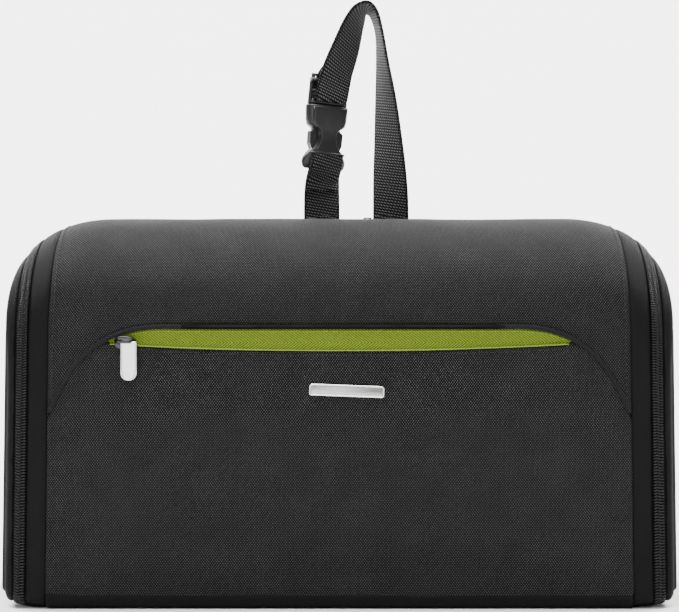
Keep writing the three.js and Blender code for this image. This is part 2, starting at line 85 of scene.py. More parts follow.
STRAP_WIDTH, STRAP_THICKNESS = 17.0, 1.4
STRAP_Y = 45.6
STRAP_ROOT_Z = 166.3
BUCKLE_FOOT = Vector((-8.1, STRAP_Y, 196.0))
BUCKLE_TURN = Matrix.Rotation(math.radians(4), 3, "Y") @ Matrix.Rotation(math.radians(27), 3, "Z")

CAMERA_DISTANCE = 800.0  # from the front face
CAMERA_HEIGHT = 130.7
VIEW_WIDTH = 292.4  # what the frame takes in at the front face


# ---- The face of the bag ----

def clamp(value, low=0.0, high=1.0):
    return max(low, min(high, value))


def top_z(y):
    return CREST_Z - TOP_SLOPE * max(0.0, y - CREST_Y)


def soften(x, y, z):
    """The ends of the bag draw in, as the frame's do."""
    reach = clamp((abs(x) - SHOULDER_X) / (HALF_WIDTH - SHOULDER_X))
    end = clamp((abs(x) - SEAM_X) / (HALF_WIDTH - SEAM_X))
    drop = SHOULDER_DROP * (1 - math.sqrt(1 - reach * reach))
    draw = 1 - math.sqrt(1 - end * end)
    height = clamp((z - SHOULDER_BASE_Z) / (CREST_Z - SHOULDER_BASE_Z))
    soft_z = z - drop * height * height + END_LIFT * draw * (1 - z / CREST_Z)
    return Vector((x * (1 - TOP_TAPER * soft_z / CREST_Z), y * (1 - END_DRAW_IN / BACK_Y * draw), soft_z))


def cover_profile(s):
    """Point and outward normal in (y, z) at the distance s up the front and over the top."""
    if s < BOTTOM_ROLL:
        turn = (BOTTOM_ROLL - s) / BOTTOM_ROLL
        n = (-math.cos(turn), -math.sin(turn))
        return (FRONT_Y + BOTTOM_ROLL + BOTTOM_ROLL * n[0], BOTTOM_ROLL + BOTTOM_ROLL * n[1]), n
    if s <= ARC_Z:
        return (FRONT_Y, s), (-1.0, 0.0)
    if s <= S_CREST:
        angle = math.pi - (s - ARC_Z) / FRONT_RADIUS
        n = (math.cos(angle), math.sin(angle))
        return (CREST_Y + FRONT_RADIUS * n[0], ARC_Z + FRONT_RADIUS * n[1]), n
    y = CREST_Y + s - S_CREST
    return (y, top_z(y)), (TOP_SLOPE, 1.0)


def on_cover(x, s, depth=0.0):
    (y, z), (ny, nz) = cover_profile(s)
    return soften(x, y - depth * ny, z - depth * nz)


def bezier(p0, p1, p2, p3, t):
    r = 1 - t
    corners = zip(p0, p1, p2, p3)
    return [r ** 3 * a + 3 * r * r * t * b + 3 * r * t * t * c + t ** 3 * d for a, b, c, d in corners]


ARCH_CURVE = ((SEAM_X, ARCH_FOOT_Z), (118.0, 105.0), (107.0, 123.5), (ARCH_FLAT_X, ARCH_TOP_Z))


def arch_z(x):
    """Height of the pocket's arch at x, by halving on its curve."""
    x = min(abs(x), SEAM_X)
    if x <= ARCH_FLAT_X:
        return ARCH_TOP_Z
    low, high = 0.0, 1.0
    for _ in range(24):
        t = (low + high) / 2
        if bezier(*ARCH_CURVE, t)[0] > x:
            low = t
        else:
            high = t
    return bezier(*ARCH_CURVE, low)[1]


def mouth_z(x):
    """Height of the pocket's open edge at x: it sags between the tips of the zip tape."""
    share = clamp(abs(x) / TAPE_TIP_X)
    return MOUTH_Z + (TAPE_TIP_Z - MOUTH_Z) * share * share


def ripple(x, s, size=0.35):
    """The slow unevenness of padded cloth."""
    broad = noise.noise(Vector((x / 38, s / 30, 1.7)))
    fine = noise.noise(Vector((x / 15, s / 13, 5.2)))
    return size * (broad + 0.5 * fine)


def line_points(a, b, count):
    """Points from a up to b, without b itself."""
    shares = [i / count for i in range(count)]
    return [(a[0] + (b[0] - a[0]) * t, a[1] + (b[1] - a[1]) * t) for t in shares]


def arc_points(centre, radius, start, end, count):
    """Points round an arc between two angles in degrees, without the last one."""
    turns = [math.radians(start + (end - start) * i / count) for i in range(count)]
    return [(centre[0] + radius * math.cos(t), centre[1] + radius * math.sin(t)) for t in turns]


# ---- Mesh helpers ----

def add_object(name, data):
    thing = bpy.data.objects.new(name, data)
    bpy.context.scene.collection.objects.link(thing)
    return thing


def make_mesh(name, points, faces, material, weave=None, smooth=True):
    """A piece from points in millimetres. weave holds each point's place on the cloth, in millimetres."""
    mesh = bpy.data.meshes.new(name)
    mesh.from_pydata([tuple(Vector(p) * MM) for p in points], [], faces)
    mesh.update()
    if weave is not None:
        cloth = mesh.attributes.new("cloth", "FLOAT_VECTOR", "POINT")
        cloth.data.foreach_set("vector", [c for uv in weave for c in (uv[0], uv[1], 0.0)])
    bm = bmesh.new()
    bm.from_mesh(mesh)
    bmesh.ops.recalc_face_normals(bm, faces=bm.faces)
    bm.to_mesh(mesh)
    bm.free()
    mesh.polygons.foreach_set("use_smooth", [smooth] * len(mesh.polygons))
    mesh.materials.append(material)
    return add_object(name, mesh)


def finish_piece(piece, body, slot, *nodes):
    if nodes:
        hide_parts(*nodes)
    if body:
        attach(piece, body)
    return piece


def edge_steps(length, count, edge=2.0):
    """Distances from 0 to length, close together at both ends, where the edge rolls over."""
    near = [0, 0.06, 0.2, 0.45, 0.75, 1]
    inner = [edge + (length - 2 * edge) * i / count for i in range(1, count)]
    return [edge * n for n in near] + inner + [length - edge * n for n in reversed(near)]


def centred_steps(reach, count):
    """The same from -reach to reach."""
    return [x - reach for x in edge_steps(2 * reach, count)]


def rolled(distance, radius):
    """How far a rolled edge drops at a distance in from it."""
    if distance >= radius:
        return 0.0
    return radius - math.sqrt(max(0.0, radius ** 2 - (radius - distance) ** 2))


def slab(name, rows, cols, outer, inner, material):
    """A closed sheet: outer(r, c) and inner(r, c) give each point and its place on the cloth."""
    points, weave = [], []
    for surface in (outer, inner):
        for r in range(rows):
            for c in range(cols):
                point, place = surface(r, c)
                points.append(point)
                weave.append(place)
    half = rows * cols
    faces = []
    for r in range(rows - 1):
        for c in range(cols - 1):
            a = r * cols + c
            faces.append((a, a + 1, a + cols + 1, a + cols))
            faces.append((half + a, half + a + cols, half + a + cols + 1, half + a + 1))
    rim = list(range(cols))
    rim += [r * cols + cols - 1 for r in range(1, rows)]
    rim += [(rows - 1) * cols + c for c in range(cols - 2, -1, -1)]
    rim += [r * cols for r in range(rows - 2, 0, -1)]
    for a, b in zip(rim, rim[1:] + rim[:1]):
        faces.append((a, half + a, half + b, b))
    return make_mesh(name, points, faces, material, weave)


def circle(sides):
    """Angles all the way round, in radians."""
    return [2 * math.pi * k / sides for k in range(sides)]


def ring_faces(first, rings, sides):
    """The walls between rings of points, which start at the index first, and a cap at each end."""
    faces = []
    for i in range(rings - 1):
        for k in range(sides):
            a, b = first + i * sides + k, first + i * sides + (k + 1) % sides
            faces.append((a, b, b + sides, a + sides))
    last = first + (rings - 1) * sides
    faces.append(tuple(range(first, first + sides)))
    faces.append(tuple(range(last, last + sides)))
    return faces


def tube(name, route, radius, sides, material, across=None, up=Vector((0, 0, 1))):
    """A round or oval bar along a route of points. across gives its half sizes, sideways and towards up."""
    points, weave = [], []
    wide, high = across or (radius, radius)
    travelled = 0.0
    last = len(route) - 1
    for i, place in enumerate(route):
        along = (route[min(i + 1, last)] - route[max(i - 1, 0)]).normalized()
        side = along.cross(up if abs(along.z) < 0.99 else Vector((0, 1, 0))).normalized()
        rise = side.cross(along)
        travelled += (place - route[i - 1]).length if i else 0.0
        for turn in circle(sides):
            points.append(place + side * wide * math.cos(turn) + rise * high * math.sin(turn))
            weave.append((travelled, turn * radius))
    return make_mesh(name, points, ring_faces(0, len(route), sides), material, weave)


def join(name, pieces):
    """Joins meshes made the same way into one piece."""
    bm = bmesh.new()
    material = pieces[0].data.materials[0]
    for piece in pieces:
        bm.from_mesh(piece.data)
        bpy.data.objects.remove(piece)
    mesh = bpy.data.meshes.new(name)
    bm.to_mesh(mesh)
    bm.free()
    mesh.materials.append(material)
    return add_object(name, mesh)


# ---- Materials ----

class Nodes:
    """Short names for building one material's node tree."""

    def __init__(self, name, base, roughness, metallic=0.0, specular=0.5):
        self.material = bpy.data.materials.new(name)
        self.material.use_nodes = True
        self.tree = self.material.node_tree
        self.shader = self.tree.nodes["Principled BSDF"]
        self.shader.inputs["Base Color"].default_value = (*base, 1)
        self.shader.inputs["Roughness"].default_value = roughness
        self.shader.inputs["Metallic"].default_value = metallic
        self.shader.inputs["Specular IOR Level"].default_value = specular

    def add(self, kind, **settings):
        node = self.tree.nodes.new(kind)
        for key, value in settings.items():
            setattr(node, key, value)
        return node

    def link(self, source, target):
        self.tree.links.new(source, target)

    def math(self, operation, a, b=None):
        node = self.add("ShaderNodeMath", operation=operation)
        for socket, value in zip(node.inputs, (a, b)):
            if value is None:
                continue
            if isinstance(value, (int, float)):
                socket.default_value = value
            else:
                self.link(value, socket)
        return node.outputs[0]

    def cloth(self):
        """The x and y places on the cloth, in millimetres."""
        place = self.add("ShaderNodeAttribute", attribute_name="cloth")
        split = self.add("ShaderNodeSeparateXYZ")
        self.link(place.outputs["Vector"], split.inputs[0])
        return split.outputs[0], split.outputs[1]

    def object_noise(self, scale, detail=3.0):
        place = self.add("ShaderNodeTexCoord")
        texture = self.add("ShaderNodeTexNoise")
        texture.inputs["Scale"].default_value = scale
        texture.inputs["Detail"].default_value = detail
        self.link(place.outputs["Object"], texture.inputs["Vector"])
        return texture.outputs["Fac"]

    def wave(self, value, pitch):
        return self.math("SINE", self.math("MULTIPLY", value, 2 * math.pi / pitch))

    def ramp(self, value, low, high, from_min=0.0, from_max=1.0):
        """Mixes two colours by a value."""
        spread = self.add("ShaderNodeMapRange")
        spread.inputs["From Min"].default_value = from_min
        spread.inputs["From Max"].default_value = from_max
        self.link(value, spread.inputs["Value"])
        mix = self.add("ShaderNodeMix", data_type="RGBA")
        self.link(spread.outputs[0], mix.inputs["Factor"])
        mix.inputs[6].default_value = (*low, 1)
        mix.inputs[7].default_value = (*high, 1)
        return mix.outputs[2]

    def bump(self, height, strength, distance):
        node = self.add("ShaderNodeBump")
        node.inputs["Strength"].default_value = strength
        node.inputs["Distance"].default_value = distance * MM
        self.link(height, node.inputs["Height"])
        self.link(node.outputs[0], self.shader.inputs["Normal"])

    def vary_roughness(self, scale, low, high):
        """Wear: the surface is smoother and rougher in patches."""
        spread = self.add("ShaderNodeMapRange")
        self.link(self.object_noise(scale), spread.inputs["Value"])
        spread.inputs["To Min"].default_value = low
        spread.inputs["To Max"].default_value = high
        self.link(spread.outputs[0], self.shader.inputs["Roughness"])


def shade(colour, factor):
    return tuple(c * factor for c in colour)


def woven_nylon(name, gap, yarn, across, along, bump=0.5):
    """A plain weave: the yarns' crowns stand in staggered rows, with dark gaps between them. The colour runs
    from the gap colour, which is painted shade, to the yarn colour on the crowns, which is partly painted
    highlight.
    """
    n = Nodes(name, yarn, 0.6, specular=0.06)
    x, y = n.cloth()
    slack = n.math("MULTIPLY", n.math("SUBTRACT", n.object_noise(160.0), 0.5), 0.5)
    weft = n.wave(n.math("ADD", x, slack), across)
    warp = n.wave(n.math("ADD", y, slack), along)
    crossing = n.math("MULTIPLY", weft, warp)
    patches = n.math("SUBTRACT", n.object_noise(70.0), 0.5)
    fuzz = n.math("SUBTRACT", n.object_noise(1500.0, 1.0), 0.5)
    uneven = n.math("ADD", n.math("MULTIPLY", patches, 0.25), n.math("MULTIPLY", fuzz, 0.7))
    height = n.math("ADD", crossing, uneven)
    n.link(n.ramp(height, gap, yarn, 0.25, 1.05), n.shader.inputs["Base Color"])
    n.bump(height, bump, 0.2)
    return n.material


def twill(name, colour, pitch, split_y=None):
    """Diagonal ribs, which turn back at split_y on a herringbone."""
    n = Nodes(name, colour, 0.75, specular=0.12)
    x, y = n.cloth()
    if split_y is not None:
        y = n.math("ABSOLUTE", n.math("SUBTRACT", y, split_y))
    rib = n.wave(n.math("ADD", n.math("MULTIPLY", x, 0.75), y), pitch)
    fine = n.object_noise(900.0, 1.0)
    height = n.math("ADD", rib, fine)
    dark, light = shade(colour, 0.35), shade(colour, 1.5)
    n.link(n.ramp(height, dark, light, -0.6, 1.5), n.shader.inputs["Base Color"])
    n.bump(height, 0.5, 0.2)
    return n.material


def ribbed_webbing(name, colour):
    """Flat webbing: rows of small floats that step sideways from row to row, with a painted highlight on the
    floats, and edges that are darker and lower.
    """
    n = Nodes(name, colour, 0.5, specular=0.08)
    x, y = n.cloth()
    row = n.wave(n.math("ADD", y, n.math("MULTIPLY", x, 0.18)), 1.35)
    floats = n.wave(n.math("ADD", x, n.math("MULTIPLY", y, 0.7)), 1.3)
    height = n.math("ADD", n.math("MULTIPLY", floats, 0.8), row)
    edge = n.math("GREATER_THAN", n.math("ABSOLUTE", x), 7.4)
    height = n.math("SUBTRACT", height, n.math("MULTIPLY", edge, 0.9))
    # The floats' crowns are painted fifteen times lighter than the black webbing as a painted highlight. The
    # low end, between the floats, is painted shade.
    dark, light = shade(colour, 0.35), shade(colour, 15)
    n.link(n.ramp(height, dark, light, -0.1, 1.6), n.shader.inputs["Base Color"])
    n.bump(height, 0.7, 0.25)
    return n.material


def moulded_plastic(name, colour, roughness, specular=0.35):
    n = Nodes(name, colour, roughness, specular=specular)
    n.bump(n.object_noise(700.0, 2.0), 0.12, 0.05)
    n.vary_roughness(60.0, roughness - 0.06, roughness + 0.1)
    return n.material


def satin_metal(name, colour, roughness):
    n = Nodes(name, colour, roughness, 1.0)
    place = n.add("ShaderNodeTexCoord")
    stretch = n.add("ShaderNodeMapping")
    stretch.inputs["Scale"].default_value = (300, 300, 4000)
    brushed = n.add("ShaderNodeTexNoise")
    n.link(place.outputs["Object"], stretch.inputs["Vector"])
    n.link(stretch.outputs[0], brushed.inputs["Vector"])
    n.bump(brushed.outputs["Fac"], 0.1, 0.02)
    n.vary_roughness(300.0, roughness - 0.05, roughness + 0.08)
    return n.material


# The gap colour is painted shade between the yarns. The ballistic yarn colour is the yarns' grey raised into
# a painted highlight on their crowns.
GAP_SHADE = (0.001, 0.001, 0.001)
YARN_AND_HIGHLIGHT = (0.090, 0.090, 0.0905)
PLAIN_DARK = (0.0025, 0.0025, 0.0025)
PLAIN_LIGHT = (0.0185, 0.0185, 0.0186)
LIME = (0.112, 0.16, 0.010)
BLACK = (0.008, 0.008, 0.008)

ballistic = woven_nylon("ballistic_nylon", GAP_SHADE, YARN_AND_HIGHLIGHT, 1.1, 1.5)
plain = woven_nylon("plain_nylon", PLAIN_DARK, PLAIN_LIGHT, 0.55, 0.7, bump=0.35)
back_nylon = woven_nylon("back_nylon", PLAIN_DARK, shade(PLAIN_LIGHT, 1.3), 0.7, 0.9, bump=0.3)
lime = twill("lime_twill", LIME, 1.1, split_y=115.0)
lime_lining = twill("lime_lining", LIME, 0.9)
binding = twill("black_binding", (0.009, 0.009, 0.009), 1.3)
zip_tape = twill("zip_tape", (0.004, 0.004, 0.004), 1.0)
coil = moulded_plastic("zip_coil", (0.003, 0.003, 0.003), 0.3, specular=0.3)
webbing = ribbed_webbing("webbing", BLACK)
thread = moulded_plastic("thread", (0.011, 0.011, 0.011), 0.6, specular=0.2)
lime_thread = moulded_plastic("lime_thread", shade(LIME, 1.3), 0.5)
buckle_plastic = moulded_plastic("buckle_plastic", (0.010, 0.0095, 0.010), 0.3)
nickel = satin_metal("satin_nickel", (0.80, 0.80, 0.79), 0.28)
brushed_nickel = satin_metal("brushed_nickel", (0.42, 0.415, 0.41), 0.36)
gunmetal = satin_metal("gunmetal", (0.045, 0.045, 0.047), 0.24)


# ---- Cover ----

PANEL_X = SEAM_X + 0.1
PANEL_ROLL = 1.6


def cover_panel(name, s_low, s_high, rows, face_depth, thickness, material, puff=0.0):
    """A woven panel on the cover between two edges, s_low(x) and s_high(x), with its edges rolled in."""
    xs = centred_steps(PANEL_X, 84)
    shares = [d / 100 for d in edge_steps(100, rows)]

    def outer(r, c):
        x = xs[c]
        low, high = s_low(x), s_high(x)
        s = low + (high - low) * shares[r]
        side = rolled(min(PANEL_X - abs(x), 99), PANEL_ROLL)
        hem = rolled(min(s - low, high - s), PANEL_ROLL)
        fill = puff * math.sin(math.pi * clamp((s - low) / max(high - low, 1))) * (1 - (x / PANEL_X) ** 4)
        depth = face_depth + max(side, hem) * 0.9 - ripple(x, s) - fill
        return on_cover(x, s, depth), (x, s)

    def inner(r, c):
        x = xs[c]
        s = s_low(x) + (s_high(x) - s_low(x)) * shares[r]
        return on_cover(x, s, face_depth + thickness), (x, s)

    return slab(name, len(shares), len(xs), outer, inner, material)


def add_cover_panels():
    upper = cover_panel("upper_front", lambda x: arch_z(x) + 0.2, lambda x: S_COVER_END, rows=60,
                        face_depth=0.55, thickness=1.9, material=ballistic)
    finish_piece(upper, "cover", "ballistic_nylon", "upper_front_panel", "cover_shell")

    def pocket_top(x):
        blend = clamp((abs(x) - TAPE_TIP_X + 3) / 5)
        return mouth_z(x) * (1 - blend) + (arch_z(x) - 0.2) * blend

    pocket = cover_panel("front_pocket", lambda x: COVER_FOOT, pocket_top, rows=48,
                         face_depth=0.15, thickness=1.7, material=ballistic, puff=0.5)
    finish_piece(pocket, "cover", "ballistic_nylon", "pocket_panel")


def add_cover_inside():
    """The lime lining inside the cover, bound at its edges."""
    reach = BAND_END_X - 1
    xs = centred_steps(reach, 60)
    steps = edge_steps(S_COVER_END - 0.5 - WALL_TOP, 50)

    def outer(r, c):
        s = WALL_TOP + steps[r]
        return on_cover(xs[c], s, 2.75), (xs[c], s)

    def inner(r, c):
        s = WALL_TOP + steps[r]
        side = rolled(min(reach - abs(xs[c]), steps[r], steps[-1] - steps[r]), 2.0)
        return on_cover(xs[c], s, 5.6 - side + ripple(xs[c], s)), (xs[c], s)

    lining = slab("cover_lining_cloth", len(steps), len(xs), outer, inner, lime_lining)
    finish_piece(lining, "cover", "lime_cloth", "cover_lining")


def band_edge(s):
    """Outer edge of the side band, rounded at its top corner."""
    into = s - (S_COVER_END - 8)
    if into <= 0:
        return BAND_END_X
    return BAND_END_X - 8 + math.sqrt(max(0.0, 64 - into * into))


def add_side_band(side, name):
    steps = edge_steps(S_COVER_END - COVER_FOOT, 90)
    shares = [d / 100 for d in edge_steps(100, 8, 12)]

    def surface(depth_at):
        def place(r, c):
            s = COVER_FOOT + steps[r]
            near, far = SEAM_X - 0.2, band_edge(s)
            x = near + (far - near) * shares[c]
            return on_cover(side * x, s, depth_at(x - near, far - x, r)), (side * x, s)
        return place

    def face(from_seam, to_edge, r):
        side_roll = rolled(max(0.0, from_seam), 2.2) * 0.55 + rolled(max(0.0, to_edge), 2.0) * 0.8
        end = rolled(min(steps[r], steps[-1] - steps[r]), 1.2)
        return 0.45 + max(side_roll, end) - 0.2 * ripple(side * from_seam * 4, steps[r])

    band = slab(name, len(steps), len(shares), surface(face), surface(lambda a, b, r: 4.4), plain)
    finish_piece(band, "cover", "plain_nylon", name.replace("_cloth", ""))


def arch_route(count, depth):
    """Points along the arch from the left seam to the right one."""
    half = [bezier(*ARCH_CURVE, i / count) for i in range(count)]
    flat = [(ARCH_FLAT_X * (1 - i / count), ARCH_TOP_Z) for i in range(2 * count + 1)]
    right = [p for p in half if p[0] <= SEAM_X - 0.4] + flat
    whole = [(-x, z) for x, z in right] + [(x, z) for x, z in reversed(right)][1:]
    return [on_cover(x, z, depth) for x, z in whole]


def add_arch_piping():
    piping = tube("arch_piping_cloth", arch_route(22, 0.1), PIPING_RADIUS, 14, binding)
    finish_piece(piping, "cover", "plain_nylon", "arch_piping")


STITCH_SHAPE = ((0.0, 0.25), (0.12, 0.8), (0.5, 1.0), (0.88, 0.8), (1.0, 0.25))  # (share along, size)


def spaced_pairs(route, length, gap):
    """The two ends of each stitch along a route."""
    lengths = [0.0]
    for a, b in zip(route, route[1:]):
        lengths.append(lengths[-1] + (b - a).length)

    def at(distance):
        for i in range(1, len(route)):
            if lengths[i] >= distance:
                span = lengths[i] - lengths[i - 1]
                return route[i - 1].lerp(route[i], (distance - lengths[i - 1]) / max(span, 1e-6))
        return route[-1]

    pairs = []
    start = gap
    while start + length < lengths[-1]:
        pairs.append((at(start), at(start + length)))
        start += length + gap
    return pairs


def stitches(name, route, length, gap, material, radius=0.22):
    """A row of sunk thread stitches along a route."""
    points, faces = [], []
    sides = 6
    for a, b in spaced_pairs(route, length, gap):
        first = len(points)
        centres = [a + (b - a) * share for share, _ in STITCH_SHAPE]
        along = (centres[-1] - centres[0]).normalized()
        side = along.cross(Vector((0.0, 0.35, 0.94))).normalized()
        rise = side.cross(along)
        for centre, (_, share) in zip(centres, STITCH_SHAPE):
            size = radius * share
            for turn in circle(sides):
                points.append(centre + side * size * math.cos(turn) + rise * size * math.sin(turn))
        faces += ring_faces(first, len(STITCH_SHAPE), sides)
    return make_mesh(name, points, faces, material)


def add_pocket_zip():
    """The lime zip tape under the arch, with a fine coil along its top."""
    reach = TAPE_TIP_X + 1
    xs = centred_steps(reach, 90)
    shares = [i / 12 for i in range(13)]

    def span(x):
        return mouth_z(x) - 1.6, arch_z(x) - 0.4

    def surface(depth):
        def place(r, c):
            low, high = span(xs[c])
            s = low + (high - low) * shares[r]
            hollow = 0.35 * math.sin(math.pi * shares[r])
            return on_cover(xs[c], s, depth + hollow), (xs[c], s)
        return place

    tape = slab("pocket_zip_cloth", len(shares), len(xs), surface(1.0), surface(1.5), lime)
    finish_piece(tape, "cover", "lime_cloth", "pocket_zip_tape")
    hem_route = [on_cover(x, mouth_z(x) + 0.35, 0.35) for x in [i * 2.5 - 100 for i in range(81)]]
    finish_piece(tube("pocket_zip_hem", hem_route, 0.28, 8, lime_thread), "cover", "lime_cloth")
    teeth_route = [on_cover(x, arch_z(x) - 1.9, 0.75) for x in [i * 2.0 - 98 for i in range(99)]]
    teeth = stitches("pocket_zip_teeth", teeth_route, 0.75, 0.35, lime_thread, radius=0.4)
    finish_piece(teeth, "cover", "lime_cloth")


def add_cover_stitching():
    xs = [i * 3.0 - 96 for i in range(65)]
    hem = [on_cover(x, mouth_z(x) - 1.7, 0.02 - ripple(x, mouth_z(x))) for x in xs]
    rows = [stitches("hem_stitches", hem, 2.0, 0.9, thread)]
    for side in (-1, 1):
        x = side * (SEAM_X - 2.3)
        route = [on_cover(x, s, 0.4 - ripple(x, s)) for s in range(8, 212, 4)]
        rows.append(stitches("seam_stitches", route, 2.0, 0.9, thread))
    finish_piece(join("cover_stitches", rows), "cover", "ballistic_nylon")


# ---- Main zip ----

def chain_route():
    """The zip's five legs, from the left foot over the top to the right: each a length, and a function from
    the distance along it to a place (x, s) and the direction inward."""
    straight = CHAIN_X - CHAIN_CORNER
    corner_s = S_CHAIN - CHAIN_CORNER
    side_length = corner_s - COVER_FOOT
    bend = CHAIN_CORNER * math.pi / 2

    def corner(side, start):
        def place(d):
            turn = start - d / CHAIN_CORNER
            out = (math.cos(turn), math.sin(turn))
            x, s = side * straight + CHAIN_CORNER * out[0], corner_s + CHAIN_CORNER * out[1]
            return (x, s), (-out[0], -out[1])
        return place

    return [
        (side_length, lambda d: ((-CHAIN_X, COVER_FOOT + d), (1.0, 0.0))),
        (bend, corner(-1, math.pi)),
        (2 * straight, lambda d: ((-straight + d, S_CHAIN), (0.0, -1.0))),
        (bend, corner(1, math.pi / 2)),
        (side_length, lambda d: ((CHAIN_X, corner_s - d), (-1.0, 0.0))),
    ]


def along_chain(pitch, offset):
    """Steps along the whole zip."""
    places = []
    travelled = offset
    before = 0.0
    for length, place in chain_route():
        while travelled < before + length:
            places.append(place(travelled - before))
            travelled += pitch
        before += length
    return places


TOOTH_PITCH = 1.27
TOOTH_PATH = ((2.55, 1.7), (2.45, 0.75), (1.5, 0.3), (0.2, 0.45), (-0.45, 1.2))  # (across, depth)
TOOTH_RADIUS = 0.37


def teeth_mesh(name, inward, offset):
    """One side of the coil: a bent loop of thick yarn for each tooth."""
    points, faces = [], []
    sides = 6
    for (x, s), (dx, ds) in along_chain(TOOTH_PITCH, offset):
        first = len(points)
        for across, depth in TOOTH_PATH:
            centre_x, centre_s = x + dx * inward * across, s + ds * inward * across
            lean = 0.35 * across / 2.5
            for turn in circle(sides):
                slide = TOOTH_RADIUS * math.cos(turn) + lean
                lift = TOOTH_RADIUS * math.sin(turn)
                points.append(on_cover(centre_x - ds * slide, centre_s + dx * slide, depth - lift))
        faces += ring_faces(first, len(TOOTH_PATH), sides)
    return make_mesh(name, points, faces, coil)


def chain_tape(name, inward, near, far, depth):
    """The woven tape that one side of the coil is sewn to."""
    step = 2.0
    places = along_chain(step, 0.0)
    shares = [i / 6 for i in range(7)]

    def surface(sunk):
        def place(r, c):
            (x, s), (dx, ds) = places[r]
            across = near + (far - near) * shares[c]
            spot = (x + dx * inward * across, s + ds * inward * across)
            return on_cover(*spot, sunk), (r * step, across)
        return place

    return slab(name, len(places), len(shares), surface(depth), surface(depth + 0.5), zip_tape)


def add_main_zip():
    inner = teeth_mesh("cover_zip_teeth", 1, 0.0)
    inner_nodes = ("left_inner_coil", "right_inner_coil", "top_inner_coil")
    finish_piece(inner, "cover", "zip_coil", *inner_nodes)
    outer = teeth_mesh("tray_zip_teeth", -1, TOOTH_PITCH / 2)
    outer_nodes = ("left_outer_coil", "right_outer_coil", "top_outer_coil")
    finish_piece(outer, "tray", "zip_coil", *outer_nodes)
    cover_tape = chain_tape("cover_zip_tape", 1, near=-0.7, far=5.5, depth=2.4)
    finish_piece(cover_tape, "cover", "plain_nylon")
    tray_tape = chain_tape("tray_zip_tape", -1, near=0.25, far=8.4, depth=1.75)
    finish_piece(tray_tape, "tray", "plain_nylon")


# ---- Tray ----

BACK_CORNER = 6.0  # radius of the top back edge
BOTTOM_CORNER = 5.0
FRONT_LIP = 1.5


def wrap_profile():
    """The tray's outside from the zip over the top back edge, down the back and under to the front."""
    edge_y = BACK_Y - BACK_CORNER
    edge_z = top_z(edge_y) - BACK_CORNER
    start_y, lip_y = 24.6, FRONT_Y + 6.5
    places = line_points((start_y, top_z(start_y)), (edge_y, edge_z + BACK_CORNER), 8)
    places += arc_points((edge_y, edge_z), BACK_CORNER, 90, 0, 8)
    places += line_points((BACK_Y, edge_z), (BACK_Y, BOTTOM_CORNER), 40)
    places += arc_points((BACK_Y - BOTTOM_CORNER, BOTTOM_CORNER), BOTTOM_CORNER, 0, -90, 8)
    places += line_points((BACK_Y - BOTTOM_CORNER, 0), (lip_y, 0), 24)
    places += arc_points((lip_y, FRONT_LIP), FRONT_LIP, -90, -180, 5)
    return places


def add_tray_wrap():
    profile = wrap_profile()
    reach = 142.6
    xs = centred_steps(reach, 70)
    travelled = [0.0]
    for a, b in zip(profile, profile[1:]):
        travelled.append(travelled[-1] + math.dist(a, b))

    def normal(r):
        a, b = profile[max(r - 1, 0)], profile[min(r + 1, len(profile) - 1)]
        dy, dz = b[0] - a[0], b[1] - a[1]
        size = math.hypot(dy, dz)
        return -dz / size, dy / size

    def surface(depth, roll):
        def place(r, c):
            y, z = profile[r]
            ny, nz = normal(r)
            side = rolled(reach - abs(xs[c]), 1.8) if roll else 0.0
            end = rolled(travelled[r], 1.5) if roll else 0.0
            wave = ripple(xs[c], travelled[r] + 300) if roll and 6 < z else 0.0
            sunk = depth + max(side, end) - min(wave, 0.3)
            return soften(xs[c], y - ny * sunk, z - nz * sunk), (xs[c], travelled[r])
        return place

    wrap = slab("tray_wrap", len(profile), len(xs), surface(0.0, True), surface(4.0, False), back_nylon)
    finish_piece(wrap, "tray", "plain_nylon", "bottom_panel", "back_panel", "top_panel")


def body_outline(depth):
    """Points round the D-shaped end at a depth inside its edge."""
    radius = max(BACK_CORNER - depth, 1.0)
    front, back = FRONT_Y + depth + radius, BACK_Y - depth - radius
    high = top_z(BACK_Y - BACK_CORNER) - depth - radius
    outline = line_points((front, depth), (back, depth), 16)
    outline += arc_points((back, depth + radius), radius, -90, 0, 5)
    outline += line_points((back + radius, depth + radius), (back + radius, high), 28)
    outline += arc_points((back, high), radius, 0, 90, 5)
    outline += line_points((back, high + radius), (CREST_Y, CREST_Z - depth), 8)
    outline += arc_points((CREST_Y, ARC_Z), FRONT_RADIUS - depth, 90, 180, 22)
    outline += line_points((front - radius, ARC_Z), (front - radius, depth + radius), 22)
    outline += arc_points((front, depth + radius), radius, 180, 270, 5)
    return outline


SHOULDER_FULL_Z = 132.0  # the ends are fullest here
SHOULDER_FULL_REACH = 22.0
RIM_X = 142.0
END_RINGS = (  # (x, depth inside the outline), from the inside, over the rim, to the middle of the outside
    (141.6, 30.0), (141.6, 12.0), (141.6, 2.4), (141.9, 1.0), (142.6, 0.35), (143.6, 0.1), (144.6, 0.25),
    (145.3, 0.8), (145.55, 1.6), (145.3, 2.6), (145.5, 4.0), (146.2, 7.0), (147.0, 12.0), (147.6, 20.0),
    (147.9, 30.0), (148.0, 38.0),
)


def add_end_panel(side, name):
    """A padded D-shaped end with a rolled rim that stands a little proud of the panel's seam."""
    points, weave = [], []
    for x, depth in END_RINGS:
        for y, z in body_outline(depth):
            place = soften(min(x, HALF_WIDTH), y, z)
            near = math.exp(-((place.z - SHOULDER_FULL_Z) / SHOULDER_FULL_REACH) ** 2)
            full = near * clamp((x - RIM_X) / 3)
            place.x += max(0.0, x - HALF_WIDTH) + 0.25 * ripple(y * 2, z) + 1.3 * full
            place.z += 0.5 * full
            place.x *= side
            points.append(place)
            weave.append((x + y, z))
    faces = ring_faces(0, len(END_RINGS), len(points) // len(END_RINGS))
    panel = make_mesh(name, points, faces, back_nylon, weave)
    finish_piece(panel, "tray", "plain_nylon", name.replace("_cloth", ""))


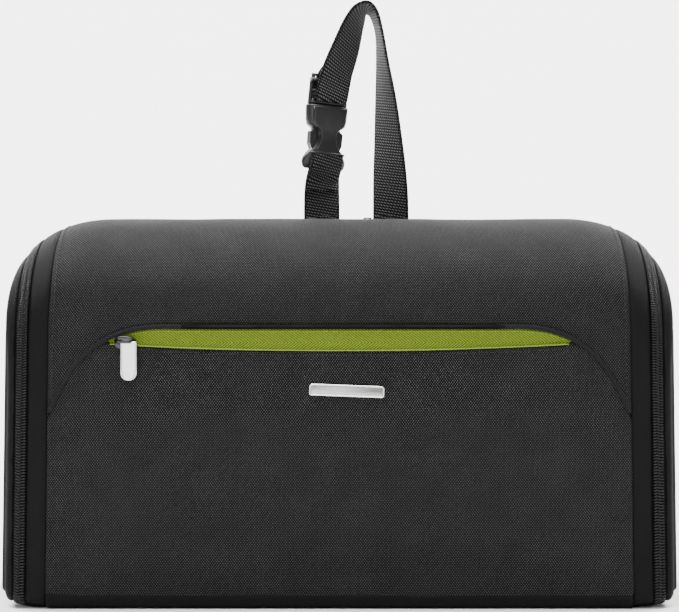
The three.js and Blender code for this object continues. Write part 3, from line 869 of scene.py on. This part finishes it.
def add_hinge_fold():
    """The strip of cloth along the front bottom edge, which the cover folds on."""
    xs = centred_steps(SEAM_X, 60)
    steps = edge_steps(12.0, 12, 1.5)

    def surface(depth, roll):
        def place(r, c):
            s = steps[r] - 5.0
            side = rolled(SEAM_X - abs(xs[c]), 1.6) if roll else 0.0
            top = rolled(steps[-1] - steps[r], 2.0) if roll else 0.0
            return on_cover(xs[c], s, depth + max(side, top) * 0.8), (xs[c], s)
        return place

    fold = slab("hinge_fold", len(steps), len(xs), surface(-0.25, True), surface(1.3, False), plain)
    finish_piece(fold, None, "plain_nylon")
    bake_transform(fold)


def add_tray_lining():
    """Lime cloth on the inside of the tray: back, bottom and ends."""
    reach = 134.0
    xs = centred_steps(reach, 50)
    heights = edge_steps(146.0, 30)

    def back(y, roll):
        def place(r, c):
            z = 6 + heights[r]
            puff = ripple(xs[c], z) if roll else 0.0
            return soften(xs[c], y - puff, z), (xs[c], z)
        return place

    size = (len(heights), len(xs))
    wall = slab("back_lining_cloth", *size, back(39.2, True), back(40.3, False), lime_lining)
    finish_piece(wall, "tray", "lime_cloth", "back_lining")

    depths = edge_steps(74.0, 16)

    def floor(z):
        return lambda r, c: (soften(xs[c], FRONT_Y + 9 + depths[r], z), (xs[c], depths[r]))

    base = slab("bottom_lining_cloth", len(depths), len(xs), floor(5.3), floor(4.3), lime_lining)
    finish_piece(base, "tray", "lime_cloth", "bottom_lining")

    for side, name in ((-1, "left_end_lining"), (1, "right_end_lining")):
        points, weave = [], []
        for x in (140.9, 140.0):
            for y, z in body_outline(8.0):
                place = soften(x, y, z)
                points.append(Vector((side * place.x, place.y, place.z)))
                weave.append((y, z))
        count = len(points) // 2
        faces = [(k, (k + 1) % count, count + (k + 1) % count, count + k) for k in range(count)]
        faces += [tuple(range(count)), tuple(range(count, 2 * count))]
        end = make_mesh(name + "_cloth", points, faces, lime_lining, weave, smooth=False)
        finish_piece(end, "tray", "lime_cloth", name)


NET_HALF_WIDTH, NET_LOW_Z, NET_TOP_Z, NET_Y = 105.0, 8.0, 78.0, 38.0
NET_PITCH, STRAND_HALF_WIDTH, STRAND_HALF_DEPTH = 3.2, 0.28, 0.15


def net_strand(start, lean):
    """The two ends of one strand, cut off at the pocket's sides, or None where it is too short."""
    rise = NET_TOP_Z - NET_LOW_Z
    end = start + lean * rise
    shares = [i / 60 for i in range(61)]
    inside = [t for t in shares if abs(start + (end - start) * t) <= NET_HALF_WIDTH]
    if not inside or inside[-1] - inside[0] <= 0.03:
        return None
    return [(start + (end - start) * t, NET_LOW_Z + rise * t) for t in (inside[0], inside[-1])]


def add_net():
    """An open net with diagonal strands, one layer leaning each way."""
    points, faces = [], []
    rise = NET_TOP_Z - NET_LOW_Z
    for lean in (-1, 1):
        start = -NET_HALF_WIDTH - rise
        while start < NET_HALF_WIDTH + rise:
            strand = net_strand(start, lean)
            start += NET_PITCH
            if strand is None:
                continue
            a = len(points)
            for x, z in strand:
                for off in (-STRAND_HALF_WIDTH, STRAND_HALF_WIDTH):
                    for back in (-STRAND_HALF_DEPTH, STRAND_HALF_DEPTH):
                        points.append((x + off, NET_Y + back + lean * 0.1, z))
            faces += [(a, a + 1, a + 3, a + 2), (a + 4, a + 6, a + 7, a + 5), (a, a + 4, a + 5, a + 1)]
            faces += [(a + 2, a + 3, a + 7, a + 6), (a, a + 2, a + 6, a + 4), (a + 1, a + 5, a + 7, a + 3)]
    net = make_mesh("mesh_pocket_net", points, faces, thread, smooth=False)
    finish_piece(net, "tray", "mesh_cloth", "mesh_pocket")


def add_elastic():
    """The gathered band along the net's mouth."""
    xs = centred_steps(NET_HALF_WIDTH, 120)
    rows = edge_steps(10.5, 6, 1.0)

    def band(depth, roll):
        def place(r, c):
            gather = 0.25 * math.sin(xs[c] * 2.1) if roll else 0.0
            edge = rolled(min(rows[r], rows[-1] - rows[r]), 0.8) if roll else 0.0
            y, z = NET_Y + depth + edge - gather, NET_TOP_Z - 1.0 + rows[r]
            return Vector((xs[c], y, z)), (xs[c], rows[r])
        return place

    elastic = slab("pocket_elastic_cloth", len(rows), len(xs), band(-1.0, True), band(0.6, False), binding)
    finish_piece(elastic, "tray", "plain_nylon", "mesh_pocket_elastic")


# ---- Hang strap ----

def spline(values, t):
    """A Catmull-Rom curve through a list of vectors, t from 0 to 1."""
    spans = len(values) - 1
    place = clamp(t) * spans
    i = min(int(place), spans - 1)
    u = place - i
    a, b, c, d = (values[max(i - 1, 0)], values[i], values[i + 1], values[min(i + 2, spans)])
    second = 2 * a - 5 * b + 4 * c - d
    third = 3 * b - a - 3 * c + d
    return 0.5 * (2 * b + (c - a) * u + second * u * u + third * u ** 3)


def ribbon(name, stations, steps, width=STRAP_WIDTH):
    """Webbing through stations of (place, direction of its width), with rounded edges."""
    places = [Vector(p) for p, _ in stations]
    widths = [Vector(w) for _, w in stations]
    half, thick = width / 2, STRAP_THICKNESS / 2
    across = [-1, -0.97, -0.85, -0.5, 0, 0.5, 0.85, 0.97, 1]
    section = [(u * half, thick * (0.35 if abs(u) == 1 else 0.8 if abs(u) == 0.97 else 1)) for u in across]
    section += [(u, -v) for u, v in reversed(section)]
    points, weave = [], []
    travelled = 0.0
    previous = None
    for i in range(steps + 1):
        t = i / steps
        place = spline(places, t)
        along = (spline(places, min(t + 0.002, 1)) - spline(places, max(t - 0.002, 0))).normalized()
        wide = spline(widths, t)
        wide = (wide - along * wide.dot(along)).normalized()
        normal = along.cross(wide)
        travelled += (place - previous).length if previous else 0.0
        previous = place
        for u, v in section:
            points.append(place + wide * u + normal * v)
            weave.append((u, travelled))
    return make_mesh(name, points, ring_faces(0, steps + 1, len(section)), webbing, weave)


def facing(tilt, turn):
    """The width's direction for webbing that leans by tilt and faces away by turn, in degrees."""
    lean, away = math.radians(tilt), math.radians(turn)
    return (math.cos(lean) * math.cos(away), math.sin(away), -math.sin(lean) * math.cos(away))


def in_buckle(x, y, z):
    return BUCKLE_FOOT + BUCKLE_TURN @ Vector((x, y, z))


BUCKLE_WIDE = tuple(BUCKLE_TURN @ Vector((1, 0, 0)))

HANG_LOOP = (  # (x, z, degrees that the webbing faces away)
    (-4.4, 236.5, 27), (-0.9, 243, 32), (3, 254, 42), (6.6, 265, 56), (9.6, 271.4, 68), (13.2, 273.6, 78),
    (16.6, 270.4, 81), (19.1, 261, 81), (20.6, 246, 72), (22.2, 228, 56), (23.5, 207, 38), (24.4, 186, 15),
    (24.6, 171, 0),
)


def loop_stations():
    """From the plug's lower slot, over the top and down the right leg."""
    stations = [
        (in_buckle(0, 2.4, 35.4), BUCKLE_WIDE),
        (in_buckle(0, 0.2, 34.2), BUCKLE_WIDE),
        (in_buckle(0.2, -2.5, 33.0), BUCKLE_WIDE),
        (in_buckle(0.5, -3.4, 35.0), facing(8, 27)),
        (in_buckle(1.2, -3.4, 40.5), facing(12, 27)),
    ]
    route = [Vector((x, 0, z)) for x, z, _ in HANG_LOOP]
    fronts = [0.0, 2.6, 1.0] + [0.0] * len(HANG_LOOP)  # how far the webbing passes in front of its tail
    for i, (x, z, turn) in list(enumerate(HANG_LOOP))[1:]:
        along = (route[min(i + 1, len(route) - 1)] - route[i - 1]).normalized()
        level = Vector((along.z, 0, -along.x))
        away = math.radians(turn)
        wide = level * math.cos(away) + Vector((0, math.sin(away), 0))
        stations.append(((x, STRAP_Y - fronts[i], z), tuple(wide)))
    return stations


def add_strap():
    loop = ribbon("hang_loop_webbing", loop_stations(), 150)
    finish_piece(loop, None, "webbing", "upper_strap", "right_strap")
    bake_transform(loop)

    tail = ribbon("strap_tail", [
        (in_buckle(0, 1.4, 35.2), BUCKLE_WIDE), (in_buckle(0, 3.4, 36.6), BUCKLE_WIDE),
        (in_buckle(0.8, 3.2, 40), facing(9, 27)), (in_buckle(2.4, 1.2, 45.5), facing(12, 28)),
        ((0.9, STRAP_Y + 1.4, 246), facing(14, 34))], 40, width=15)
    finish_piece(tail, "plug", "webbing")

    lower = ribbon("lower_webbing", [
        ((-8.5, STRAP_Y, STRAP_ROOT_Z + 4), (1, 0, 0)), ((-8.5, STRAP_Y, 178), facing(0, 4)),
        ((-8.4, STRAP_Y, 187), facing(1, 15)), (in_buckle(0, -1.2, -2), BUCKLE_WIDE),
        (in_buckle(0, -3.3, 2), BUCKLE_WIDE), (in_buckle(0, -4.0, 6.4), BUCKLE_WIDE)], 50)
    finish_piece(lower, "strap", "webbing", "lower_strap")

    turn_back = ribbon("sewn_turn_back", [
        ((-8.4, STRAP_Y - 1.5, 186.0), facing(0, 14)), ((-8.3, STRAP_Y - 1.6, 190.0), facing(1, 20)),
        (in_buckle(-0.2, -2.7, -2.2), BUCKLE_WIDE), (in_buckle(-0.4, -4.8, 2), BUCKLE_WIDE),
        (in_buckle(-0.4, -5.2, 6.9), BUCKLE_WIDE)], 40, width=16.4)
    finish_piece(turn_back, "strap", "webbing")

    for name, x in (("left", -8.5), ("right", 24.6)):
        stations = [((x, STRAP_Y, z), (1, 0, 0)) for z in (137, 150, 162, 168, 174)]
        root = ribbon(f"{name}_strap_root", stations, 40)
        finish_piece(root, None, "webbing", f"{name}_strap_anchor")
        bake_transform(root)
        corners = ((-6.5, 140), (6.5, 140), (6.5, 153), (-6.5, 153), (-6.5, 140), (6.5, 153))
        box = [Vector((x + u, STRAP_Y + 0.85, z)) for u, z in corners]
        finish_piece(stitches(f"{name}_root_stitches", box, 1.8, 0.8, thread), "tray", "webbing")


# ---- Hard parts that keep their frame shape ----

def polish(node, material, bevel):
    """A frame part keeps its shape: its sharp edges are rounded and its material is set."""
    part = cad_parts[node]
    part.data.materials.clear()
    part.data.materials.append(material)
    rounding = part.modifiers.new("rounding", "BEVEL")
    rounding.width = bevel * MM
    rounding.segments = 3
    rounding.limit_method = "ANGLE"
    rounding.angle_limit = math.radians(35)
    return part


def plate(name, outline, rings, origin, right, up, material):
    """A plate with shaped edges. rings give (inset from the outline, height), from its back to its face."""
    out = right.cross(up)
    count = len(outline)
    normals = []
    for i, point in enumerate(outline):
        ahead, behind = outline[(i + 1) % count], outline[i - 1]
        along = Vector((ahead[0] - behind[0], ahead[1] - behind[1])).normalized()
        normals.append(Vector((along.y, -along.x)))
    points = []
    for inset, height in rings:
        for point, normal in zip(outline, normals):
            u, v = point[0] - normal.x * inset, point[1] - normal.y * inset
            points.append(origin + right * u + up * v + out * height)
    return make_mesh(name, points, ring_faces(0, len(rings), count), material)


def rounded_outline(width, low, high, low_radius, high_radius):
    """A rectangle with rounded corners, anticlockwise from its lower right corner."""
    low_x, high_x = width / 2 - low_radius, width / 2 - high_radius
    low_y, high_y = low + low_radius, high - high_radius
    corners = (
        (low_x, low_y, low_radius, -90), (high_x, high_y, high_radius, 0),
        (-high_x, high_y, high_radius, 90), (-low_x, low_y, low_radius, 180),
    )
    steps = 8
    outline = []
    for x, y, radius, start in corners:
        for i in range(steps + 1):
            turn = math.radians(start + 90 * i / steps)
            outline.append((x + radius * math.cos(turn), y + radius * math.sin(turn)))
    return outline


def slider_outline():
    """A slider's top plate, broader at the end where the zip opens."""
    outline = []
    for turn in circle(40):
        broad = 0.5 - 0.5 * math.cos(turn)
        half = 2.5 + broad
        v = math.copysign(half * abs(math.sin(turn)) ** 0.8, math.sin(turn))
        outline.append((4.7 * math.cos(turn), v))
    return outline


BADGE_RIM_RINGS = (
    (0.1, 0), (0, 0.15), (0, 0.75), (0.15, 1.05), (0.4, 1.15), (0.62, 1.05), (0.75, 0.6), (0.95, 0.55),
)
BADGE_FACE_RINGS = ((0, 0.4), (0, 0.72), (0.12, 0.82))
SLIDER_RINGS = ((0.3, -1.2), (0, -0.9), (0, 0.1), (0.25, 0.5), (0.8, 0.75), (1.7, 0.85))
PULL_RINGS = (
    (0.3, -0.5), (0, -0.3), (0, 0), (0.12, 0.25), (0.42, 0.48), (0.62, 0.42), (0.78, 0.24), (1.0, 0.24),
)
RIGHT, UP = Vector((1, 0, 0)), Vector((0, 0, 1))


def add_badge():
    tilt = Matrix.Rotation(math.radians(2.2), 3, "Y")
    place = (Vector((3.1, FRONT_Y - 0.15, 94.2)), tilt @ RIGHT, tilt @ UP)
    outline = rounded_outline(32.5, -2.6, 2.6, 1.3, 1.3)
    rim = plate("badge_rim", outline, BADGE_RIM_RINGS, *place, nickel)
    finish_piece(rim, "cover", "satin_metal", "badge_plate")
    outline = rounded_outline(30.8, -1.75, 1.75, 0.7, 0.7)
    face = plate("badge_face", outline, BADGE_FACE_RINGS, *place, brushed_nickel)
    finish_piece(face, "cover", "satin_metal")


def add_pocket_slider():
    centre = Vector((-92.4, FRONT_Y - 0.2, 115.0))
    body = plate("pocket_slider_plate", slider_outline(), SLIDER_RINGS, centre, RIGHT, UP, gunmetal)
    finish_piece(body, "pocket_slider_body", "dark_metal", "pocket_slider")
    arch = []
    for i in range(15):
        lift = 2.0 * math.sin(math.pi * i / 14) ** 0.6
        arch.append(Vector((-96 + 8.2 * i / 14, FRONT_Y - 0.9 - lift, 115.5)))
    bridge = tube("pocket_slider_bridge", arch, 0.55, 12, gunmetal, across=(0.5, 0.85))
    finish_piece(bridge, "pocket_slider_body", "dark_metal")
    outline = rounded_outline(7.1, -16.8, 0.1, 3.4, 0.9)
    centre = Vector((-90.6, FRONT_Y - 2.3, 115.4))
    pull = plate("pocket_pull_tab", outline, PULL_RINGS, centre, RIGHT, UP, nickel)
    finish_piece(pull, "pocket_pull_body", "satin_metal", "pocket_pull")


SOCKET_SHAPE = (  # (height, half width, half thickness)
    (0.0, 9.6, 1.4), (0.3, 10.2, 1.9), (1.2, 11.0, 2.4), (3.0, 11.4, 2.8), (5.0, 11.0, 3.2),
    (7.5, 9.4, 4.0), (10.0, 7.2, 4.3), (12.5, 5.6, 4.3), (15.0, 4.9, 4.3), (17.0, 5.1, 4.3),
    (18.8, 6.3, 4.3), (20.2, 8.8, 4.3), (21.2, 9.9, 4.3), (23.0, 10.4, 4.3), (27.0, 10.7, 4.3),
    (29.6, 10.8, 4.3), (30.3, 10.7, 4.1), (30.5, 10.3, 3.7),
)
SOCKET_FACE_RINGS = ((0, -1.2), (0, 0.1), (0.2, 0.4), (0.6, 0.5))


def add_buckle_socket():
    """The socket is thick in the middle and thin at its sides, and drawn in at the prongs' windows."""
    sides = 56
    points = []
    for height, half, thick in SOCKET_SHAPE:
        for turn in circle(sides):
            u = math.copysign(abs(math.cos(turn)) ** 0.62, math.cos(turn)) * half
            v = math.copysign(abs(math.sin(turn)) ** 0.8, math.sin(turn)) * thick
            points.append(in_buckle(u, v, height))
    faces = ring_faces(0, len(SOCKET_SHAPE), sides)
    socket = make_mesh("buckle_socket_shell", points, faces, buckle_plastic)
    finish_piece(socket, "strap", "buckle_plastic", "buckle_socket")
    outline = [(half * 0.8, height) for height, half, _ in SOCKET_SHAPE if 7 < height < 30]
    outline += [(-half, height) for half, height in reversed(outline)]
    place = (in_buckle(0, -4.1, 0), Vector(BUCKLE_WIDE), BUCKLE_TURN @ UP)
    face = plate("buckle_socket_face", outline, SOCKET_FACE_RINGS, *place, buckle_plastic)
    finish_piece(face, "strap", "buckle_plastic")
    shares = [i / 5 - 1 for i in range(11)]
    lip_route = [in_buckle(-9.0 + 17.6 * i / 10, -5.7 + 1.5 * abs(t) ** 3, 7.4) for i, t in enumerate(shares)]
    lip = tube("buckle_socket_lip", lip_route, 0.6, 10, buckle_plastic)
    finish_piece(lip, "strap", "buckle_plastic")


def add_buckle_plug():
    """The plug's stem and ladder: two rails and three bars that the webbing threads through."""
    through = BUCKLE_TURN @ Vector((0, 1, 0))

    def bar(start, end, across):
        route = [in_buckle(*start).lerp(in_buckle(*end), i / 6) for i in range(7)]
        return tube("bar", route, max(across), 20, buckle_plastic, across=across, up=through)

    bars = [bar((0, 0, 9), (0, 0, 32), (1.6, 1.7))]
    for side in (-1, 1):
        bars.append(bar((side * 9.4, 0, 30.6), (side * 9.1, -0.3, 42.6), (1.0, 2.0)))
        bars.append(bar((side * 8.2, 1.0, 38.0), (side * 7.6, 1.4, 45.6), (0.9, 1.0)))
    for height, depth, across in ((31.9, 0, (1.3, 2.0)), (37.3, 0, (0.95, 1.6)), (42.4, -0.3, (1.0, 1.7)),
                                  (45.0, 1.4, (0.7, 0.9))):
        reach = 8.4 if height > 44 else 9.6
        bars.append(bar((-reach, depth, height), (reach, depth, height), across))
    finish_piece(join("buckle_plug_ladder", bars), "plug", "buckle_plastic", "buckle_plug")


def add_hard_parts():
    add_buckle_plug()
    for node in ("left_prong", "right_prong"):
        polish(node, buckle_plastic, 0.6)
    for node in ("left_main_slider", "right_main_slider"):
        polish(node, gunmetal, 0.25)
    for node in ("left_main_pull", "right_main_pull"):
        polish(node, nickel, 0.22)
    add_badge()
    add_pocket_slider()
    add_buckle_socket()


# ---- Studio ----

LAMPS = (  # (name, place, aim, size, watts)
    ("front", (-250, -1500, 500), (0, 0, 100), 900, 8.5),
    ("top", (-150, -350, 1500), (0, 0, 120), 1100, 44),
    ("left_wall", (-1500, 900, 2300), (-700, 2600, 500), 1200, 260),
    ("right_wall", (1500, 900, 2300), (700, 2600, 500), 1200, 260),
)


def add_studio():
    floor_material = Nodes("floor", (0.86, 0.86, 0.86), 0.9).material
    width, depth, height, bend = 6000, 3000, 3500, 900
    profile = [(-depth, 0.0), (depth - bend, 0.0)]
    profile += [(depth - bend + bend * math.sin(t), bend - bend * math.cos(t))
                for t in [math.pi / 2 * i / 16 for i in range(1, 17)]]
    profile.append((depth, height))
    points = [(x, y, z - 0.05) for x in (-width, width) for y, z in profile]
    n = len(profile)
    faces = [(i, i + 1, n + i + 1, n + i) for i in range(n - 1)]
    make_mesh("studio_floor", points, faces, floor_material)

    world = bpy.data.worlds.new("studio")
    world.use_nodes = True
    world.node_tree.nodes["Background"].inputs["Color"].default_value = (1, 1, 1, 1)
    world.node_tree.nodes["Background"].inputs["Strength"].default_value = 0.38
    bpy.context.scene.world = world

    for name, place, aim, size, power in LAMPS:
        lamp = bpy.data.lights.new(name, "AREA")
        lamp.size = size * MM
        lamp.energy = power
        light = add_object(name, lamp)
        light.location = Vector(place) * MM
        toward = Vector(aim) * MM - light.location
        light.rotation_euler = toward.to_track_quat("-Z", "Y").to_euler()


def add_camera():
    camera = add_object("camera", bpy.data.cameras.new("camera"))
    camera.data.sensor_width = 36
    camera.data.lens = 36 * CAMERA_DISTANCE / VIEW_WIDTH
    camera.data.clip_end = 20
    camera.location = Vector((0, FRONT_Y - CAMERA_DISTANCE, CAMERA_HEIGHT)) * MM
    camera.rotation_euler = (math.pi / 2, 0, 0)
    bpy.context.scene.camera = camera


add_camera()
add_studio()
add_cover_panels()
add_cover_inside()
add_side_band(-1, "left_side_band_cloth")
add_side_band(1, "right_side_band_cloth")
add_arch_piping()
add_pocket_zip()
add_cover_stitching()
add_main_zip()
add_tray_wrap()
add_end_panel(-1, "left_end_panel_cloth")
add_end_panel(1, "right_end_panel_cloth")
add_hinge_fold()
add_tray_lining()
add_net()
add_elastic()
add_strap()
add_hard_parts()
